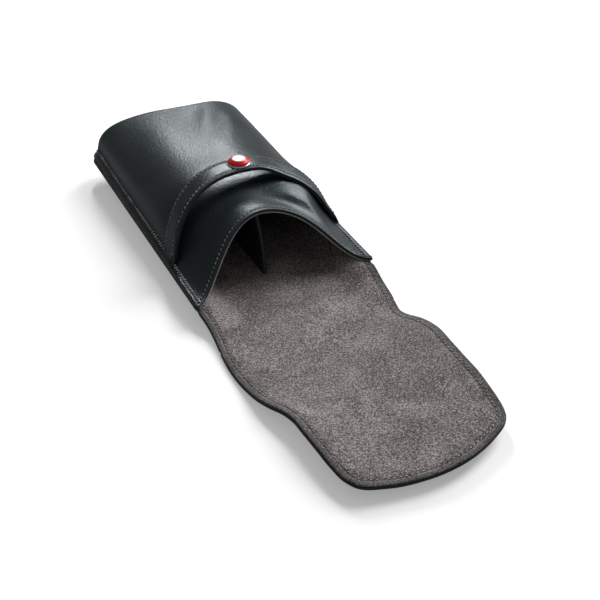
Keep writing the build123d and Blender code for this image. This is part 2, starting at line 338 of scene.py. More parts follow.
def leather(name, colour, shine, rough):
    """Smooth dyed calf: fine shrunken grain, cloudy finish, a burnished band along the cut edges, and
    painted shade in its stitch creases.
    """
    graph = Graph(bpy.data.materials.new(name))
    place = graph.node("ShaderNodeTexCoord")["Object"]
    clouds = noise(graph, place, 55.0, 3.0)
    pores = noise(graph, place, 900.0, 4.0)
    cell_sockets = {"Vector": place, "Scale": 1250.0, "Smoothness": 0.6}
    cells = graph.node("ShaderNodeTexVoronoi", {"feature": "SMOOTH_F1"}, cell_sockets)["Distance"]
    crease = graph.node("ShaderNodeAttribute", {"attribute_name": "crease"})["Fac"]
    darker, lighter = [c * 0.75 for c in colour], [c * 1.5 for c in colour]
    shade = shades(graph, clouds * 0.7 + pores * 0.3, (0.30, darker), (0.72, lighter))
    painted = mixed(graph, edge_band(graph, 0.05, 0.6) * 0.5, shade, (0.015, 0.017, 0.018, 1.0))
    height = (0.9 - cells) * 0.6 + pores * 1.1
    return surfaced(graph, {
        # Painted shade: the colour darkens to near black in the crease of each row of stitches.
        "Base Color": mixed(graph, crease * 0.8, painted, (0.002, 0.002, 0.002, 1.0)),
        "Roughness": rough + (clouds - 0.5) * 0.16 + (pores - 0.5) * 0.30 + crease * 0.3,
        "Specular IOR Level": shine, "Specular Tint": (0.80, 0.95, 1.0, 1.0),
        "Normal": relief(graph, 0.5, 0.00016, height),
    })


black_calf = leather("black_calf", (0.0080, 0.0125, 0.0145), 0.42, 0.36)
edge_steps = np.array([0.0, 0.3, 0.7, 1.1, 1.45, 1.8, 2.15, 2.5, 2.9, 3.4, 4.2])
sheet_columns = 1.0 - edge_steps / half_width
inner_columns = np.linspace(-sheet_columns[-1], sheet_columns[-1], 60)[1:-1]
sheet_columns = np.concatenate([-sheet_columns, inner_columns, sheet_columns[::-1]])


def pouch_side(y):
    """Half width of the pouch's outline at y, with its rounded far corners."""
    over = np.clip((y - (end_y - corner_radius)) / corner_radius, 0.0, 1.0)
    return half_width - corner_radius * (1.0 - np.sqrt(1.0 - over**2))


def back_height(x, y):
    """Underside of the back over the table."""
    across = (np.abs(x) - floor_half) / wall_run
    along = (y - (end_y - (half_width - root_half) - wall_run)) / wall_run
    share = np.hypot(np.maximum(across, 0.0), np.maximum(along, 0.0))
    return (seam_height(y) - back_stack) * smooth(share)


bend_y = end_y - corner_radius
back_rows = np.concatenate([
    bend_y + corner_radius * np.sin(np.linspace(pi / 2, 0, 15)), np.linspace(bend_y, mouth_y, 72)[1:],
])
grid_y = np.repeat(back_rows[:, None], len(sheet_columns), axis=1)
grid_x = pouch_side(grid_y) * sheet_columns[None, :]
back_under = np.dstack([grid_x, grid_y, back_height(grid_x, grid_y)])
back_rim = np.minimum(pouch_side(grid_y) - np.abs(grid_x), end_y - grid_y)

# Flap: how far its edges stand out from the middle line and over the table, from the mouth to the tip.
# Opened, its neck lies on the table and the rest keeps the bends of being folded, unevenly.
# Each row of the two sides: half width, distance from the mouth, height.
flap_left = np.array([
    (38.0, 0.0, 5.1), (36.9, 6.0, 2.8), (37.2, 16.0, 0.9), (38.3, 25.0, 0.2), (38.9, 33.0, 0.1),
    (38.8, 41.0, 0.2), (38.5, 48.0, 1.1), (37.9, 55.0, 2.4), (36.4, 62.0, 3.9), (34.2, 68.5, 5.2),
    (33.2, 74.0, 5.9), (33.0, 80.0, 6.1), (32.6, 89.0, 6.0), (31.8, 98.0, 5.2), (30.6, 104.5, 4.6),
])
flap_right = np.array([
    (38.0, 0.0, 5.1), (37.7, 5.0, 3.2), (37.2, 11.5, 1.5), (36.4, 19.5, 0.4), (34.8, 26.0, 0.2),
    (33.9, 31.0, 1.0), (34.5, 36.0, 2.4), (36.3, 42.0, 4.1), (37.5, 51.0, 5.5), (36.6, 61.0, 6.5),
    (36.0, 71.0, 6.6), (35.9, 80.0, 6.2), (35.0, 89.0, 5.6), (34.0, 96.0, 5.2), (32.4, 101.5, 4.8),
])
# The tip's x and distance, and the middle line's distance and height.
flap_length = 115.0
flap_tip = np.array([
    (-28.2, 109.0), (-19.5, 112.6), (-10.0, 114.4), (-1.0, flap_length), (8.0, 114.0), (17.0, 111.3),
    (24.5, 108.0), (29.5, 105.0),
])
flap_middle = np.array([
    (0.0, 0.0), (20.0, 0.0), (32.0, 0.0), (44.0, 0.3), (56.0, 0.8), (68.0, 1.6), (80.0, 2.4), (92.0, 3.0),
    (104.0, 3.4), (116.0, 3.6),
])
tip_corners = (-29.8, 107.2), (31.2, 103.8)
neck_cut, outline_points = 22.0, 900
unfolding_run, floor_narrows, root_widens, ripple_height = 34.0, 12.0, 4.0, 0.28


def eased(place, places, values):
    """Values at given places, run through without corners."""
    slope = np.gradient(values, places)
    at = np.clip(np.searchsorted(places, place) - 1, 0, len(places) - 2)
    run = places[at + 1] - places[at]
    t = np.clip((place - places[at]) / run, 0.0, 1.0)
    start, stop = values[at], values[at + 1]
    bend = slope[at] * t * (1 - t) ** 2 - slope[at + 1] * t * t * (1 - t)
    return start * (1 + 2 * t) * (1 - t) ** 2 + stop * t * t * (3 - 2 * t) + run * bend


def rounded(points, count):
    """A smooth line through points, as evenly spaced ones."""
    chord = np.concatenate([[0.0], np.linalg.norm(np.diff(points, axis=0), axis=1).cumsum()])
    fine = np.linspace(0.0, chord[-1], 40 * len(points))
    line = np.stack([eased(fine, chord, column) for column in points.T], axis=1)
    return evened(line, np.linspace(0.0, 1.0, count))


def evened(line, shares):
    """Points at shares of a line's length."""
    run = np.concatenate([[0.0], np.linalg.norm(np.diff(line, axis=0), axis=1).cumsum()])
    return np.stack([np.interp(shares * run[-1], run, column) for column in line.T], axis=1)


def flap_height(x, distance):
    """Underside of the flap over the table."""
    opening = smooth(distance / unfolding_run)
    start, stop = floor_half - floor_narrows * opening, root_half + root_widens * opening
    share = smooth((np.abs(x) - start) / (stop - start))
    left, right = (eased(distance, side[:, 1], side[:, 2]) for side in (flap_left, flap_right))
    middle = eased(distance, *flap_middle.T)
    ripple = ripple_height * np.sin(x / 8.0 + 0.8) * np.sin(distance / 14.0) * smooth(distance / 30.0)
    return np.maximum(middle + (np.where(x < 0, left, right) - middle) * share + ripple * (1 - share), 0.0)


outline_left = np.stack([-flap_left[:, 0], flap_left[:, 1]], axis=1)
outline = rounded(np.concatenate([outline_left, flap_tip, flap_right[::-1, :2]]), outline_points)
left_corner, right_corner = (
    int(np.argmin(np.linalg.norm(outline - corner, axis=1))) for corner in tip_corners
)
across_shares = (sheet_columns + 1) / 2
neck_rows = np.linspace(0.0, neck_cut, 17)


def at_distance(line, distance):
    """x of a side of the outline at distances from the mouth."""
    return np.interp(distance, line[:, 1], line[:, 0])


neck_x = np.array([
    (1 - across_shares) * at_distance(outline[:left_corner], d)
    + across_shares * at_distance(outline[:right_corner:-1], d) for d in neck_rows
])
neck_d = np.repeat(neck_rows[:, None], len(sheet_columns), axis=1)
tail = 1.0 - edge_steps / (flap_length - neck_cut)
tongue_shares = np.concatenate([np.linspace(0.0, tail[-1], 62)[:-1], tail[::-1]])
left_line = outline[:left_corner + 1][outline[:left_corner + 1, 1] > neck_cut]
right_line = outline[right_corner:][outline[right_corner:, 1] > neck_cut][::-1]
left_start = np.array([[neck_x[-1, 0], neck_cut]])
right_start = np.array([[neck_x[-1, -1], neck_cut]])
left_line = evened(np.concatenate([left_start, left_line]), tongue_shares)
right_line = evened(np.concatenate([right_start, right_line]), tongue_shares)
near_line = np.stack([neck_x[-1], neck_d[-1]], axis=1)
far_line = evened(outline[left_corner:right_corner + 1], across_shares)
u, v = across_shares[None, :, None], tongue_shares[:, None, None]
tongue_plan = (
    (1 - v) * near_line[None] + v * far_line[None] + (1 - u) * left_line[:, None] + u * right_line[:, None]
    - (1 - u) * (1 - v) * near_line[0] - u * (1 - v) * near_line[-1]
    - (1 - u) * v * far_line[0] - u * v * far_line[-1]
)
flap_plan = np.concatenate([np.dstack([neck_x, neck_d])[1:], tongue_plan[1:]])
flap_x, flap_d = flap_plan[..., 0], flap_plan[..., 1]
flap_under = np.dstack([flap_x, mouth_y - flap_d, flap_height(flap_x, flap_d)])
flap_rim = np.min([np.linalg.norm(flap_plan - point, axis=2) for point in outline], axis=0)

# The whole length of the back and flap as one sheet, cut where its bodies meet.
under = np.concatenate([back_under, flap_under])
rim = np.concatenate([back_rim, flap_rim])
for _ in range(3):
    beside = under[:-2, 1:-1, 2] + under[2:, 1:-1, 2] + under[1:-1, :-2, 2] + under[1:-1, 2:, 2]
    under[1:-1, 1:-1, 2] = (beside + under[1:-1, 1:-1, 2] * 4) / 8
up = upward(under)
# The grid's corners lie on a smooth edge, so the normals near the tip come from the height instead.
near_tip, probe = slice(-14, None), 0.5
tip_x, tip_d = flap_x[near_tip], flap_d[near_tip]
tip_up = np.dstack([
    flap_height(tip_x - probe, tip_d) - flap_height(tip_x + probe, tip_d),
    flap_height(tip_x, tip_d + probe) - flap_height(tip_x, tip_d - probe),
    np.full(tip_x.shape, 2 * probe),
])
up[near_tip] = tip_up / np.linalg.norm(tip_up, axis=2, keepdims=True)
over = under + up * back_leather
flap_inset, suede_groove, leather_groove = 2.4, 0.22, 0.12
face = under + up * (back_stack - groove(rim, flap_inset, suede_groove))[..., None]
bottom = under + up * groove(rim, flap_inset, leather_groove)[..., None]
# How deep each point lies in the crease of the flap's stitching, where the materials paint shade.
sewn_crease_shade = groove(rim, flap_inset, 1.0)
mouth_row = len(back_rows) - 1
neck_row = mouth_row + len(neck_rows) - 1
stretches = {
    "back": (slice(0, mouth_row + 1), ("last",)),
    "neck": (slice(mouth_row, neck_row + 1), ("first", "last")),
    "tongue": (slice(neck_row, None), ("first",)),
}


def moved(piece, stretch):
    """Tie the back's piece to the pouch's body; for other pieces, bake their placing into the mesh."""
    if stretch == "back":
        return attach(piece, "pouch")
    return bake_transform(piece)


for stretch, node in (("back", "back_panel"), ("neck", "flap_neck"), ("tongue", "flap_tongue")):
    rows, butted = stretches[stretch]
    piece = sheet_mesh(
        f"{stretch}_leather", over[rows], bottom[rows], black_calf, butted, rim[rows],
        crease=sewn_crease_shade[rows],
    )
    moved(piece, stretch)
    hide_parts(node)
    declared(piece, under[rows])


# Suede lining of the back and flap: taupe split with its nap up, glued to the leather. Its pressed edge is
# darker, where glue and edge paint have stained it, and its nap lies in swirls, partly painted sheen.
def suede(name, edge_colour, edge_width):
    """Napped split: fibres in swirls, with painted sheen where they stand away from the eye and painted
    shade in the stitch creases.
    """
    graph = Graph(bpy.data.materials.new(name))
    place = graph.node("ShaderNodeTexCoord")["Object"]
    swirls_and_sheen = noise(graph, place, 38.0, 3.0, Roughness=0.6, Distortion=0.8)
    tufts = noise(graph, place, 1700.0, 2.0, Roughness=0.6, Distortion=0.6)
    fibres = noise(graph, place, 3400.0, 2.0, Roughness=0.7)
    crease = graph.node("ShaderNodeAttribute", {"attribute_name": "crease"})["Fac"]
    # The large swirls are partly the nap's own tone and partly painted sheen.
    shade = shades(
        graph, tufts * 0.63 + fibres * 0.15 + swirls_and_sheen * 0.22,
        (0.41, (0.044, 0.037, 0.036)), (0.505, (0.162, 0.140, 0.136)), (0.60, (0.415, 0.372, 0.362)),
    )
    edge = edge_band(graph, edge_width * 0.5, edge_width)
    # The band along the cut edge: a real stain on the back's lining, a painted highlight on the front's.
    edge_stain_and_highlight = mixed(graph, edge * 0.6, shade, (*edge_colour, 1.0))
    return surfaced(graph, {
        # Painted shade: the colour darkens to near black in the crease of each row of stitches.
        "Base Color": mixed(graph, crease * 0.8, edge_stain_and_highlight, (0.008, 0.008, 0.008, 1.0)),
        "Roughness": 0.92, "Specular IOR Level": 0.18, "Sheen Weight": 0.2, "Sheen Roughness": 0.5,
        "Normal": relief(graph, 0.8, 0.00025, tufts * 0.8 + fibres * 0.4),
    })


taupe_suede = suede("taupe_suede", (0.024, 0.025, 0.026), 1.7)
for stretch, node in (("back", "back_lining"), ("neck", "neck_lining"), ("tongue", "tongue_lining")):
    rows, butted = stretches[stretch]
    piece = sheet_mesh(
        f"{stretch}_suede", face[rows], over[rows], taupe_suede, butted, rim[rows],
        sewn_crease_shade[rows],
    )
    moved(piece, stretch)
    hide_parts(node)
    declared(piece, over[rows])

# Moulded front: one thicker piece of calf, wetted and pressed over a block, so that it rises from its
# sewn edge to a full arch, steps down in front of the strap and ends in a bowed, flared mouth.
# Distance from the mouth, crown height, half width of the foot, squareness and fullness of its arch.
front_shapes = np.array([
    (-4.0, 28.4, 38.0, 2.1, 2.0), (8.0, 29.0, 37.9, 2.1, 1.8), (16.0, 29.4, 37.5, 2.1, 1.55),
    (23.0, 29.3, 37.1, 2.15, 1.25), (29.0, 29.5, 36.7, 2.2, 0.95), (35.0, 30.8, 36.4, 2.35, 0.68),
    (45.0, 32.2, 36.3, 2.6, 0.55), (75.0, 31.6, 36.3, 2.9, 0.44), (105.0, 30.3, 36.5, 3.3, 0.38),
    (133.0, 28.9, 36.7, 3.8, 0.34),
])
mouth_setback, arch_dip = 22.0, 1.0
dome_end, end_shoulder, plan_corner = 63.8, 4.6, 4.8
straight_end = dome_end - end_shoulder
cell, soft_reach, right_forward = 0.5, 2, 7.0
foot_softness, soft_below, firm_above = 0.5, 1.0, 10.0


def foot_half(y):
    """Half width of the front's foot, rounded in plan at the closed end."""
    over = np.clip((y - (dome_end - plan_corner)) / plan_corner, 0.0, 1.0)
    straight = eased(y - mouth_y, front_shapes[:, 0], front_shapes[:, 2])
    return straight - plan_corner * (1.0 - np.sqrt(1.0 - over**2))


def lip_y(x):
    """Where the cut mouth of the front lies, at x."""
    return mouth_y + mouth_setback * np.maximum(1.0 - (np.abs(x) / half_width) ** 2, 0.0) ** 1.2


def spread(values, reach):
    """Each value averaged with its neighbours, both ways of a grid."""
    window = 2 * reach + 1
    for axis in (0, 1):
        size = values.shape[axis]
        padded = np.pad(values, [(reach, reach) if a == axis else (0, 0) for a in (0, 1)], mode="edge")
        values = sum(np.take(padded, range(k, k + size), axis=axis) for k in range(window)) / window
    return values


raster_x = np.arange(-44.0, 44.01, cell)
raster_y = np.arange(mouth_y - 2.0, end_y + 6.0, cell)
x, y = np.meshgrid(raster_x, raster_y)
distance = y - mouth_y
behind_lip = y - lip_y(x)
right_side = smooth((x - 3.0) / 14.0) * (1.0 - smooth((x - 21.0) / 10.0))
forward = right_forward * right_side * smooth((behind_lip - 3.0) / 8.0) * smooth((60.0 - distance) / 20.0)
shape_at = distance + forward
crown, square, full = (eased(shape_at, front_shapes[:, 0], front_shapes[:, k]) for k in (1, 3, 4))
full = full * (1.0 - 0.25 * bell(distance, 42.0, 16.0) * smooth((x - 4.0) / 20.0))
across = np.abs(x) / np.maximum(foot_half(np.minimum(y, dome_end)), 1.0)
arch = np.maximum(1.0 - across**square, 0.0) ** full - np.maximum(across - 1.0, 0.0)
along = np.maximum((y - straight_end) / end_shoulder, 0.0)
ending = np.maximum(1.0 - along**2.5, 0.0) ** 0.5 - np.maximum(along - 1.0, 0.0)
rise = crown - seam_height(y) - shell_leather + arch_dip
form = rise * np.where((arch > 0) & (ending > 0), arch * ending, np.minimum(arch, ending)) - arch_dip
form = (form + np.sqrt(form**2 + foot_softness)) / 2
soft = spread(spread(form, soft_reach), soft_reach)
firm = smooth((form - soft_below) / (firm_above - soft_below))
form = form * firm + soft * (1.0 - firm)
# Shallow dents all over, and on the right a few creases near the far end and a swelling behind the mouth.
dents = 0.20 * np.sin(x / 7.0 + 0.6) * np.sin(y / 13.0 + 1.1) + 0.14 * np.sin(x / 4.6 - y / 18.0)
crumple = 0.32 * np.sin((x - 0.55 * y) / 2.6) * bell(x, 14.0, 9.0) * bell(y, 38.0, 16.0)
swell = bell(x, 14.0, 11.0) * bell(distance, 39.0, 8.0)
front_form = form + (dents + crumple + swell) * smooth(form / 12.0)


def front_height(x, y):
    """Top of the front over the table."""
    column = np.clip((x - raster_x[0]) / cell, 0, len(raster_x) - 1.001)
    row = np.clip((y - raster_y[0]) / cell, 0, len(raster_y) - 1.001)
    c, r = column.astype(int), row.astype(int)
    u, v = column - c, row - r
    low = front_form[r, c] * (1 - u) + front_form[r, c + 1] * u
    high = front_form[r + 1, c] * (1 - u) + front_form[r + 1, c + 1] * u
    return seam_height(y) + shell_leather + low * (1 - v) + high * v


def column_x(columns, y):
    """x of the front's grid columns at y. They run from -2 to 2 and pass the foot at -1 and 1."""
    foot, side = foot_half(np.minimum(y, dome_end)), pouch_side(y)
    size = np.abs(columns)
    return np.sign(columns) * (np.minimum(size, 1.0) * foot + np.maximum(size - 1.0, 0.0) * (side - foot))


flange_columns = np.array([1.2, 1.4, 1.6, 1.8, 1.93, 2.0])
arch_columns = np.sin(np.linspace(-pi / 2, pi / 2, 121))
front_columns = np.concatenate([-flange_columns[::-1], arch_columns, flange_columns])
# Rows as shares of the way from the lip to the shoulder of the closed end, close together near the lip.
row_scale = 95.0
lip_rows = np.array([0.0, 0.3, 0.7, 1.1, 1.5, 1.8, 2.1, 2.5, 3.0, 3.8]) / row_scale
body_rows = np.concatenate([lip_rows, np.linspace(5.0 / row_scale, 1.0, 84)])
turn_rows = straight_end + end_shoulder * np.sin(np.linspace(0, pi / 2, 18)[1:])
flange_rows = dome_end + (end_y - dome_end) * np.linspace(0.0, 1.0, 9)[1:]
front_x, front_y = [], []
for share in body_rows:
    y = np.full(len(front_columns), mouth_y)
    for _ in range(12):
        x = column_x(front_columns, y)
        y = lip_y(x) + (straight_end - lip_y(x)) * share
    front_x.append(x)
    front_y.append(y)
for row_y in [*turn_rows, *flange_rows]:
    y = np.full(len(front_columns), row_y)
    front_x.append(column_x(front_columns, y))
    front_y.append(y)
front_x, front_y = np.array(front_x), np.array(front_y)
front_top = np.dstack([front_x, front_y, front_height(front_x, front_y)])
front_up = upward(front_top)
from_lip = np.concatenate([
    np.zeros((1, len(front_columns))), np.linalg.norm(np.diff(front_top, axis=0), axis=2).cumsum(axis=0),
])
side_rim = np.minimum(pouch_side(front_y) - np.abs(front_x), end_y - front_y)
front_rim = np.minimum(side_rim, from_lip)
lip_inset = 1.5
front_face = front_top - front_up * (groove(side_rim, seam_inset) + groove(from_lip, lip_inset))[..., None]
front_inside = front_top - front_up * shell_leather
# The crease of the seam and lip stitching, where the material paints shade.
front_crease_shade = np.minimum(groove(side_rim, seam_inset, 1.0) + groove(from_lip, lip_inset, 1.0), 1.0)
front_piece = sheet_mesh(
    "moulded_front", front_face, front_inside, black_calf, (), front_rim, crease=front_crease_shade
)
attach(front_piece, "pouch")
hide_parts("front_shell")
declared(front_piece, front_top)

# Suede lining of the front: glued inside the arch and trimmed just behind the mouth's edge.
# Its trimmed edge at the mouth is painted pale: the cut edge of the split, with painted highlight where it
# catches the light.
lining_suede = suede("lining_suede", (0.420, 0.395, 0.360), 0.7)
glue_line = 0.01
inside = slice(0, -len(flange_rows) - 3), slice(len(flange_columns) + 6, -len(flange_columns) - 6)
lining_outer = (front_inside - front_up * glue_line)[inside]
lining_inner = lining_outer - front_up[inside] * suede_thickness
front_suede = sheet_mesh(
    "front_suede", lining_outer, lining_inner, lining_suede, (), from_lip[inside]
)
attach(front_suede, "pouch")
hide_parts("shell_lining")
declared(front_suede, lining_outer)

# Divider: a web of leather between the two bays, sewn in at the floor and the crown, its cut front edge
# leaning back and showing in the mouth.
divider_calf = leather("divider_calf", (0.014, 0.016, 0.016), 0.5, 0.44)
divider_x, divider_thickness = -1.5, 1.7
foot_setback, top_setback, web_bow, web_play = 18.0, 27.0, 0.8, 0.2
along = np.linspace(0.0, 1.0, 60)[:, None]
upright = np.linspace(0.0, 1.0, 26)[None, :]
front_edge = mouth_y + foot_setback + (top_setback - foot_setback) * upright
web_y = front_edge + (straight_end - front_edge) * along
web_x = divider_x + web_bow * np.sin(pi * upright) * (1.0 - 0.7 * along)
foot_z = back_height(web_x, web_y) + back_stack
head_z = front_height(web_x, web_y) - shell_leather - suede_thickness - web_play
web_z = foot_z + (head_z - foot_z) * upright
web = np.dstack([web_x, web_y, web_z])
web_side = np.array([divider_thickness / 2, 0.0, 0.0])
divider_piece = sheet_mesh(
    "divider_web", web + web_side, web - web_side, divider_calf, (), np.linalg.norm(web - web[:1], axis=2),
)
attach(divider_piece, "pouch")
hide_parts("divider")
declared(divider_piece, web)

# Strap: a strip of the same calf on a backing, bowed towards the closed end, standing off the front so
# that the flap's tongue can pass under it. Its ends are turned out flat and sewn down with the seam. The
# filling pushes its left shoulder out further than the right.
strap_leather, strap_backing, strap_width = 1.2, 0.6, 10.2
strap_end_y, strap_bow = mouth_y + 28.0, 12.0
strap_crown, strap_half_left, strap_half_right = 39.0, 36.9, 37.9
turn = np.linspace(-pi / 2, pi / 2, 361)
reach, power = np.where(turn < 0, strap_half_left, strap_half_right), np.where(turn < 0, 2.9, 2.25)
strap_foot_z = seam_height(strap_end_y) + shell_leather + strap_leather
arch_x = np.sign(turn) * reach * np.abs(np.sin(turn)) ** (2.0 / power)
arch_z = mouth_seam_height + (strap_crown - mouth_seam_height) * np.cos(turn)
arch = np.stack([arch_x, arch_z], axis=1)[arch_z > strap_foot_z]
ends = [np.array([[side * half_width, strap_foot_z]]) for side in (-1, 1)]
strap_line = evened(np.concatenate([ends[0], arch, ends[1]]), np.linspace(0.0, 1.0, 141))
for _ in range(4):
    strap_line[1:-1] = (strap_line[:-2] + 2 * strap_line[1:-1] + strap_line[2:]) / 4
strap_steps = np.array([0.0, 0.25, 0.6, 0.95, 1.3, 1.6, 1.9, 2.3, 2.8, 3.6])
strap_steps = np.concatenate([strap_steps, [5.1], strap_width - strap_steps[::-1]])
slope = np.gradient(strap_line, axis=0)
strap_normal = np.stack([-slope[:, 1], slope[:, 0]], axis=1) / np.linalg.norm(slope, axis=1)[:, None]
edge_lean = 2.2
strap_tilt = edge_lean * smooth((strap_line[:, 0] - 6.0) / 14.0)
strap_tilt *= smooth((strap_line[:, 1] - strap_foot_z) / 10.0)


def strap_face(lift):
    """A face of the strap, lifted off its outer one."""
    near = strap_end_y + strap_bow * (1.0 - (strap_line[:, 0] / half_width) ** 2)
    face = []
    for step in strap_steps:
        line = strap_line + strap_normal * (lift - strap_tilt * (1.0 - step / strap_width))[:, None]
        face.append(np.stack([line[:, 0], near + step, line[:, 1]], axis=1))
    return np.array(face)


strap_rim = np.repeat(np.minimum(strap_steps, strap_width - strap_steps)[:, None], len(strap_line), axis=1)
outward = np.stack([strap_normal[:, 0], 0 * strap_normal[:, 0], strap_normal[:, 1]], axis=1)[None]
strap_inset, edge_fall, edge_fall_width = 1.3, 0.30, 0.5
sunk = groove(strap_rim, strap_inset) + edge_fall * bell(strap_rim, 0.0, edge_fall_width)
strap_outer = strap_face(0.0) - outward * sunk[..., None]
strap_piece = sheet_mesh(
    "strap_leather", strap_outer, strap_face(-strap_leather), black_calf, (), strap_rim,
    crease=groove(strap_rim, strap_inset, 1.0),
)
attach(strap_piece, "pouch")
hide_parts("strap")
declared(strap_piece, strap_face(0.0))
inner = (slice(None), slice(4, -4))
backing_outer = strap_face(-strap_leather - glue_line)[inner]
backing_inner = strap_face(-strap_leather - strap_backing)[inner]
strap_back = sheet_mesh(
    "strap_backing", backing_outer, backing_inner, divider_calf, (), strap_rim[inner]
)
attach(strap_back, "pouch")
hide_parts("strap_lining")
declared(strap_back, strap_face(-strap_leather)[inner])


# Stud: a polished bezel that carries a ring of red enamel round a plain white disc, riveted through the
# strap. All three are turned parts. The rivet's post and washer keep their plain shapes.
def turned(name, profile, material, segments=72):
    """A closed turned part about the stud's axis, from a profile of radius and height."""
    vertices, faces = [(0.0, stud_y, profile[0][1]), (0.0, stud_y, profile[-1][1])], []
    rings = []
    for radius, z in profile:
        rings.append(range(len(vertices), len(vertices) + segments))
        vertices += [
            (radius * cos(2 * pi * k / segments), stud_y + radius * sin(2 * pi * k / segments), z)
            for k in range(segments)
        ]
    for k in range(segments):
        for lower, upper in zip(rings, rings[1:]):
            faces.append((lower[k - 1], lower[k], upper[k], upper[k - 1]))
        faces.append((0, rings[0][k], rings[0][k - 1]))
        faces.append((1, rings[-1][k - 1], rings[-1][k]))
    mesh = bpy.data.meshes.new(name)
    mesh.from_pydata((np.array(vertices) * MM).tolist(), [], faces)
    piece = finished(name, mesh, material)
    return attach(piece, "pouch")


def glazed(name, colour, rough, metallic, coat, speckle):
    """Polished metal or fired enamel: slight mottling, fine scratches and a clear glaze."""
    graph = Graph(bpy.data.materials.new(name))
    place = graph.node("ShaderNodeTexCoord")["Object"]
    mottle = noise(graph, place, 420.0, 3.0)
    drawn_out = graph.node("ShaderNodeMapping", None, {"Vector": place, "Scale": (1.0, 9.0, 1.0)})["Vector"]
    scratch = noise(graph, drawn_out, 1500.0, 2.0)
    darker = [c * (1.0 - speckle) for c in colour]
    lighter = [min(c * (1.0 + speckle), 1.0) for c in colour]
    return surfaced(graph, {
        "Base Color": shades(graph, mottle, (0.3, darker), (0.7, lighter)),
        "Roughness": rough + (scratch - 0.5) * 0.12, "Metallic": metallic,
        "Coat Weight": coat, "Coat Roughness": 0.08, "Specular IOR Level": 0.25,
        "Normal": relief(graph, 0.15, 0.00002, scratch),
    })


stud_y = strap_end_y + strap_bow + strap_width / 2
stud_seat = strap_crown - 0.3
base_top, ring_top = stud_seat + 0.9, stud_seat + 2.4
chrome = glazed("bezel_chrome", (0.66, 0.66, 0.67), 0.14, 1.0, 0.0, 0.06)
enamel = glazed("red_enamel", (0.66, 0.005, 0.012), 0.36, 0.0, 0.12, 0.14)
resin = glazed("white_resin", (0.80, 0.80, 0.78), 0.28, 0.0, 0.5, 0.03)
steel = glazed("rivet_steel", (0.50, 0.50, 0.50), 0.30, 1.0, 0.0, 0.10)
bezel = turned("stud_bezel", [
    (4.3, stud_seat), (4.7, stud_seat + 0.08), (4.8, stud_seat + 0.3), (4.8, stud_seat + 0.55),
    (4.68, stud_seat + 0.8), (4.5, base_top), (0.4, base_top),
], chrome)
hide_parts("stud_base")
ring = turned("stud_enamel", [
    (4.4, base_top - 0.02), (4.5, base_top + 0.1), (4.46, base_top + 0.35), (4.2, base_top + 0.70),
    (3.7, base_top + 1.05), (3.15, base_top + 1.36), (2.9, ring_top), (2.8, ring_top - 0.05),
    (0.3, ring_top - 0.05),
], enamel)
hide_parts("stud_ring")
disc = turned("stud_disc_face", [
    (2.78, ring_top - 0.06), (2.8, ring_top + 0.06), (2.7, ring_top + 0.16), (2.2, ring_top + 0.21),
    (1.2, ring_top + 0.245), (0.2, ring_top + 0.25),
], resin)
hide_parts("stud_disc")
for node in ("rivet_post", "rivet_washer"):
    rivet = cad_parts[node]
    rivet.data.materials.clear()
    rivet.data.materials.append(steel)


# Stitching: waxed grey thread, saddle stitched at thirteen or fourteen to the inch, so that it shows on both
# faces. Each stitch is bowed, dips into its holes and lies a little askew.
def thread_material(name, glint_level):
    """Waxed twisted thread, dark with painted glints: pale flecks along its plies."""
    graph = Graph(bpy.data.materials.new(name))
    place = graph.node("ShaderNodeTexCoord")["Object"]
    plies, drift = noise(graph, place, 3800.0, 2.0), noise(graph, place, 160.0, 2.0)
    # Painted glints: the plies and their drift fleck the dark thread with pale, up to glint_level.
    dark, light = (glint_level * 0.07, glint_level * 0.07, glint_level * 0.076), (glint_level, glint_level, glint_level)
    return surfaced(graph, {
        "Base Color": shades(graph, plies * 0.6 + drift * 0.4, (0.40, dark), (0.60, light)),
        "Roughness": 0.36 + plies * 0.2, "Normal": relief(graph, 0.6, 0.00006, plies),
    })


